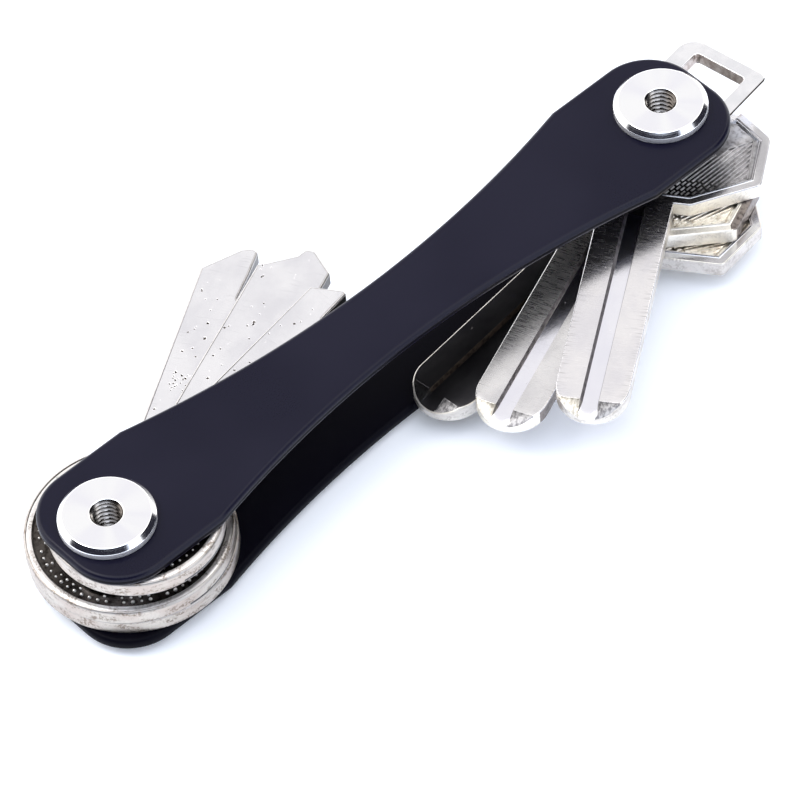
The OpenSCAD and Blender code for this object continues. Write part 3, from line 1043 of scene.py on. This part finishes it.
def near_key(name, centre, radius, tip, left, cuts, pits=()):
    """Cut key: round head with a beaded border, stepped blade. pits are (x, y, radius, depth)."""
    z0, z1 = levels(name)
    right = left - BLADE_W
    cx, cy = centre
    head = circle(cx, cy, radius, 120)
    blade = [(cx, right)] + [(x, right + y) for x, y in cuts[::-1]] + list(tip)[::-1]
    blade += [(tip[0][0] - 0.5, left), (cx, left)]
    blade = fillet(tidy(blade), 0.35, 3)
    outline = merged([head, blade])

    def depth_in(v):
        return radius - np.hypot(v[:, 0] - cx, v[:, 1] - cy)

    def relief(v):
        return cast_profile(depth_in(v))

    def height(v):
        h = relief(v)
        for x, y, r, deep in pits:
            far = np.hypot(v[:, 0] - x, v[:, 1] - y)
            h = h - deep * np.clip(1 - far / (0.93 * r), 0, 1) ** 0.7
        return h

    rims = [closed(circle(cx, cy, radius - d, 120)) for d in CAST_STEPS[1:]]
    lines, dots = list(rims), []
    for x, y, r, deep in pits:
        ragged = [1 + 0.12 * math.sin(2 * TAU * i / 10 + 9 * x)
                  + 0.08 * math.cos(3 * TAU * i / 10 + 7 * y) for i in range(10)]
        for k in (1.35, 0.75, 0.4):
            ring = circle(0, 0, r * k, 10)
            lines.append(closed([(x + 1.1 * u * q, y + 0.9 * v * q)
                                 for (u, v), q in zip(ring, ragged)]))
        dots.append((x, y))
    shape = slab(outline, [circle(0, 0, KEY_HOLE_R, 48, -1)], z0, z1, 0.30, 0.08,
                 (lines, dots, height), (rims, (), relief), steps=4, mats=(0, 1, 0, 3),
                 strip=(0.28, 8))
    # two rows of beads round the hollow, of uneven size and with some missing
    pick = random.Random(int(radius * 10))
    for face, z in ((1, z1 - SINK), (-1, z0 + SINK)):
        for gap, size, phase in ((RIM + 0.85, 0.23, 0.0), (RIM + 1.5, 0.19, 0.5)):
            r = radius - gap
            n = int(TAU * r / 1.0)
            for i in range(n):
                a = TAU * (i + phase) / n
                big = size * pick.uniform(0.6, 1.15)
                if pick.random() < (0.25 if phase else 0.05):
                    continue
                dome(shape, cx + r * math.cos(a), cy + r * math.sin(a), z - face * 0.02,
                     big, 1.1 * big, face, 10, 4)
    mats = [CUT, WALL, FIELD_PAINTED_SHADE, CUT_EDGE_SHADE, BEAD, SHADE, CUT_RIM, ROUND_RIM_SHADE, WALL]
    o = shape.object(name + "_cut", mats, (NEAR_X, 0, 0), NEAR_OPEN[name], sharp=34)

    def test(c, n, m):
        d = radius - math.hypot(c.x - cx, c.y - cy)
        pitted = any(math.hypot(c.x - x, c.y - y) < r * 0.8 for x, y, r, _ in pits)
        # painted shade in the pits of the blade
        if d < 0 and pitted and c.z > z1 - 0.5:
            return 2
        # painted shade: the blade's walls and the band at their foot get the dark material
        if d < -0.5:
            return 5 if m in (1, 8) else None
        # painted shade: a dark band at the foot of the wall, between stacked keys, on walls facing
        # 262 to 350 degrees
        if m == 8:
            way = math.degrees(math.atan2(n.y, n.x)) % 360
            return 5 if name != "near_key_bottom" and 262 < way < 350 else 1
        # painted shade: the head's rounded edge in the darker copy of the rim
        if m == 3:
            return 7
        # the head's rim gets cream, and its hollow near-black painted shade
        if m == 0 and c.z > z0 + 0.5:
            return 6 if d < RIM else 2
        return None
    paint(o, test)
    return hand_in(o, name, "keys", name)


# ---- loop
def make_loop():
    """Stamped tab with a slot for a split ring."""
    z0, z1 = levels("loop_tab")
    reach, half, shift = LOOP_REACH, LOOP_HALF, LOOP_SHIFT
    low, high = shift - half, shift + half
    tab = fillet([(0, low), (reach, low), (reach, high), (0, high)], [0, 0.9, 2.5, 0], 10)
    outline = merged([circle(0, 0, half, 96), tab])
    end = reach - LOOP_END_W
    start = end - LOOP_SLOT_LEN
    below, above = LOOP_SLOT_SHIFT - LOOP_SLOT_W / 2, LOOP_SLOT_SHIFT + LOOP_SLOT_W / 2
    slot_hole = fillet([(start, below), (end, below), (end, above), (start, above)], 0.5, 5)[::-1]
    s = slab(outline, [circle(0, 0, KEY_HOLE_R, 48, -1), slot_hole], z0, z1, 0.14, 0.10,
             steps=3, mats=(0, 1, 0, 0))
    o = s.object("loop_tab_stamped", [STEEL, SLOT_WALL_SHADE, FIELD_PAINTED_SHADE], (FAR_X, 0, 0), LOOP_OPEN)

    def test(c, n, m):
        # the outer walls get the polished sheet; the slot's and the hole's walls keep the darker
        # material, painted shade
        if m == 1 and (c.x > reach - 0.3 or abs(c.y - shift) > half - 0.3):
            return 0
        # painted shade: a dark line along the edge on the low side of Y
        return 2 if c.y < low + 0.2 and 0.05 < n.z < 0.98 and c.x < reach - 0.4 else None
    paint(o, test)
    return hand_in(o, "loop", "loop", "loop_tab")


for plate in ("top_plate", "bottom_plate"):
    make_plate(plate)
for end, x in (("near", NEAR_X), ("far", FAR_X)):
    make_post(end + "_post", x)
    make_screw(end + "_screw", x)
for i in range(1, 5):
    make_spacer(f"near_spacer_{i}", NEAR_X)
for i in range(1, 3):
    make_spacer(f"far_spacer_{i}", FAR_X)

far_key("far_key_top", (0, 0), TOP_BLADE_Y, 42.7)
far_key("far_key_middle", (2.75, 0.15), MIDDLE_BLADE_Y, 45.0)
far_key("far_key_bottom", (2.65, 2.85), 1.9, 45.7)
near_key("near_key_top", (3.5, -0.9), 10.2, [(41.6, 2.9), (42.8, 0.5), (42.7, -0.1)], 4,
         [(38, 4.4), (36, 1.2), (33, 1.2), (31, 3), (28.5, 3), (26.5, 0.8), (23, 0.8), (21, 0)],
         speckled(1, 8, (24, 40), (1.5, 3.5), 0.16))
near_key("near_key_middle", (4.85, 0.45), 12.1,
         [(46.5, 2.6), (48.9, -0.4), (50.1, -0.9), (50.3, -2), (47.8, -5.1)], 3.5,
         [(45, 0), (42, 0.9), (39, 0.9), (37, 0.6), (34, 1), (31.5, 3.2), (28.5, 3.2), (26, 1.4),
          (22, 1.4), (20, 0)],
         [(37.7, 0.1, 0.24, 0.12), (37.35, 0.0, 0.2, 0.1), (28.05, 1.5, 0.22, 0.12)]
         + speckled(2, 16, (30, 46), (-1, 3), 0.15))
near_key("near_key_bottom", (5.3, -0.35), 12.2,
         [(45.7, 3.6), (49.5, -0.4), (49.9, -1.6), (49.5, -2.4)], 3.6,
         [(46, 2.7), (42, 3), (39.5, 1.2), (36.5, 1.2), (34, 2.6), (30.5, 2.6), (28, 0.8), (24, 0.8),
          (22, 0)],
         [(37.6, 0.3, 0.23, 0.12), (35.3, 0.0, 0.27, 0.14), (32.85, 2.05, 0.2, 0.12),
          (33.55, 1.0, 0.17, 0.1), (23.8, 2.7, 0.2, 0.12), (36.4, 1.6, 0.13, 0.08)]
         + speckled(3, 26, (27.2, 29.8), (0.1, 2.1), 0.13) + speckled(4, 12, (22, 44), (0, 3), 0.13))
make_loop()

# ---- floor, light, camera
lo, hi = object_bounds()
centre = (lo + hi) / 2


def make_floor():
    """Pale floor just under the part, lifted a little by its own light."""
    half = 1.6
    z = cad_box[0].z - 0.00002
    corners = [(centre.x + half * u, centre.y + half * v, z)
               for u, v in ((-1, -1), (1, -1), (1, 1), (-1, 1))]
    me = bpy.data.meshes.new("floor")
    me.from_pydata(corners, [], [(0, 1, 2, 3)])
    mat = bpy.data.materials.new("pale_floor")
    mat.use_nodes = True
    b = mat.node_tree.nodes["Principled BSDF"]
    b.inputs["Base Color"].default_value = (0.88, 0.91, 0.97, 1)
    b.inputs["Roughness"].default_value = 0.75
    b.inputs["Specular IOR Level"].default_value = 0.15
    b.inputs["Emission Color"].default_value = (0.93, 0.96, 1, 1)
    b.inputs["Emission Strength"].default_value = 0.18
    me.materials.append(mat)
    o = bpy.data.objects.new("floor", me)
    bpy.context.scene.collection.objects.link(o)


def area_light(name, offset, size, power, color):
    """Round light at offset from the part's centre, aimed at it."""
    d = bpy.data.lights.new(name, "AREA")
    d.shape, d.size, d.energy, d.color = "DISK", size, power, color
    o = bpy.data.objects.new(name, d)
    bpy.context.scene.collection.objects.link(o)
    o.location = centre + Vector(offset)
    o.rotation_euler = (-Vector(offset)).to_track_quat("-Z", "Y").to_euler()


def make_world():
    """Soft white tent, dimmer where the flat tops mirror it, with two dark patches."""
    w = bpy.data.worlds.new("studio")
    bpy.context.scene.world = w
    w.use_nodes = True
    t = w.node_tree
    bg = t.nodes["Background"]
    way = node(t, "ShaderNodeTexCoord").outputs["Generated"]
    up = node(t, "ShaderNodeSeparateXYZ", {0: way}).outputs[2]

    def patch(azimuth, elevation, inner, outer):
        """1 within inner degrees of a direction, 0 past outer degrees."""
        a, e = math.radians(azimuth), math.radians(elevation)
        d = (math.cos(a) * math.cos(e), math.sin(a) * math.cos(e), math.sin(e))
        dot = node(t, "ShaderNodeVectorMath", {0: way, 1: d}, operation="DOT_PRODUCT")
        return ramp(t, dot.outputs["Value"], math.cos(math.radians(outer)),
                    math.cos(math.radians(inner)))

    tent = mix(t, patch(231, 10, 30, 95), (2.5, 2.48, 2.45), (1.95, 2.15, 2.5))
    tent = mix(t, patch(51, 50, 22, 40), tent, (0.95, 0.945, 0.96))
    high = math.sin(math.radians(45)), math.sin(math.radians(50))
    low = math.sin(math.radians(3)), math.sin(math.radians(12))
    band = calc(t, "MULTIPLY", ramp(t, up, *low), ramp(t, up, *high, 1.0, 0.0))
    side = calc(t, "MULTIPLY", band, patch(205, 34, 48, 60))
    other = patch(328, 17, 22, 33)
    black = (0.02, 0.02, 0.03)
    tent = mix(t, side, tent, black)
    tent = mix(t, other, tent, black)
    t.links.new(tent, bg.inputs["Color"])


def make_camera():
    cam = bpy.data.cameras.new("camera")
    cam.sensor_width = 36
    cam.lens = 248.33
    cam.clip_start, cam.clip_end = 0.01, 10
    o = bpy.data.objects.new("camera", cam)
    bpy.context.scene.collection.objects.link(o)
    o.rotation_mode = "QUATERNION"
    turn = (Matrix.Rotation(math.radians(-38.82), 3, "Z")
            @ Matrix.Rotation(math.radians(39.13), 3, "X")
            @ Matrix.Rotation(math.radians(-5.04), 3, "Z"))
    o.rotation_quaternion = turn.to_quaternion()
    o.location = Vector((-213.008, -318.678, 500.51)) * MM
    bpy.context.scene.camera = o


make_floor()
make_world()
area_light("key_light", (-0.30, 0.25, 0.55), 0.40, 1.2, (1.0, 0.985, 0.97))
make_camera()
bpy.context.scene.view_settings.view_transform = "Standard"
bpy.context.scene.view_settings.look = "None"
